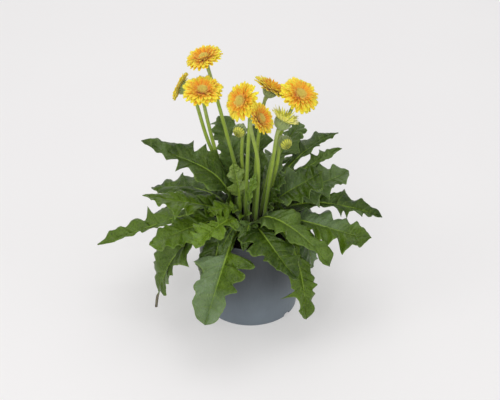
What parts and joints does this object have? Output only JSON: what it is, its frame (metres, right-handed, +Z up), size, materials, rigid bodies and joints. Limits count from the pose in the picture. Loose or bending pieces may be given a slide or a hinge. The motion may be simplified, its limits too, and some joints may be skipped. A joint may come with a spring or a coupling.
{
  "type": "potted gerbera",
  "caption": "Potted gerbera in bloom: a rosette of lobed leaves arching over a round nursery pot, with tall stems that carry yellow-orange daisy heads and green buds.",
  "frame": {"origin": "middle of the pot's underside, where it stands on a surface", "axes": "+Z up along the pot's axis, -Y towards the front of the plant, where the outer leaves hang furthest over the rim"},
  "size_m": [0.5012, 0.4088, 0.4664],
  "materials": {
    "pot_plastic": "satin slate grey thermoformed nursery pot",
    "potting_soil": "matt, moist black-brown peat soil with coarse crumbs",
    "crown_tissue": "matt olive green, felted between the stalks",
    "leaf_blade": "semi-gloss mid to dark green with pale yellow-green midribs",
    "flower_stem": "satin yellow-green, finely hairy, grey-green on the cups",
    "ray_petals": "velvety yellow edges and tips over orange bases",
    "young_petals": "matt greenish yellow",
    "disc_florets": "matt olive yellow, fine florets"
  },
  "bodies": {
    "root": {"pot": "pot_plastic", "potting_soil": "potting_soil", "crown": "crown_tissue", "leaf_outer_01": "leaf_blade", "leaf_outer_02": "leaf_blade", "leaf_outer_03": "leaf_blade", "leaf_outer_04": "leaf_blade", "leaf_outer_05": "leaf_blade", "leaf_outer_06": "leaf_blade", "leaf_outer_07": "leaf_blade", "leaf_outer_08": "leaf_blade", "leaf_outer_09": "leaf_blade", "leaf_outer_10": "leaf_blade", "leaf_outer_11": "leaf_blade", "leaf_outer_12": "leaf_blade", "leaf_outer_13": "leaf_blade", "leaf_middle_01": "leaf_blade", "leaf_middle_02": "leaf_blade", "leaf_middle_03": "leaf_blade", "leaf_middle_04": "leaf_blade", "leaf_middle_05": "leaf_blade", "leaf_middle_06": "leaf_blade", "leaf_middle_07": "leaf_blade", "leaf_middle_08": "leaf_blade", "leaf_inner_01": "leaf_blade", "leaf_inner_02": "leaf_blade", "leaf_inner_03": "leaf_blade", "leaf_inner_04": "leaf_blade", "leaf_inner_05": "leaf_blade", "leaf_inner_06": "leaf_blade", "leaf_inner_07": "leaf_blade", "leaf_inner_08": "leaf_blade", "leaf_inner_09": "leaf_blade", "flower_stem_01": "flower_stem", "flower_stem_02": "flower_stem", "flower_stem_03": "flower_stem", "flower_stem_04": "flower_stem", "flower_stem_05": "flower_stem", "flower_stem_06": "flower_stem", "flower_stem_07": "flower_stem", "flower_stem_08": "flower_stem", "flower_stem_09": "flower_stem", "flower_stem_10": "flower_stem", "flower_petals_01": "ray_petals", "flower_petals_02": "ray_petals", "flower_petals_03": "ray_petals", "flower_petals_04": "ray_petals", "flower_petals_05": "ray_petals", "flower_petals_06": "ray_petals", "flower_petals_07": "ray_petals", "flower_disc_01": "disc_florets", "flower_disc_02": "disc_florets", "flower_disc_03": "disc_florets", "flower_disc_04": "disc_florets", "flower_disc_05": "disc_florets", "flower_disc_06": "disc_florets", "flower_disc_07": "disc_florets", "half_open_petals_08": "young_petals", "bud_petals_09": "young_petals", "bud_petals_10": "young_petals"}
  },
  "joints": []
}
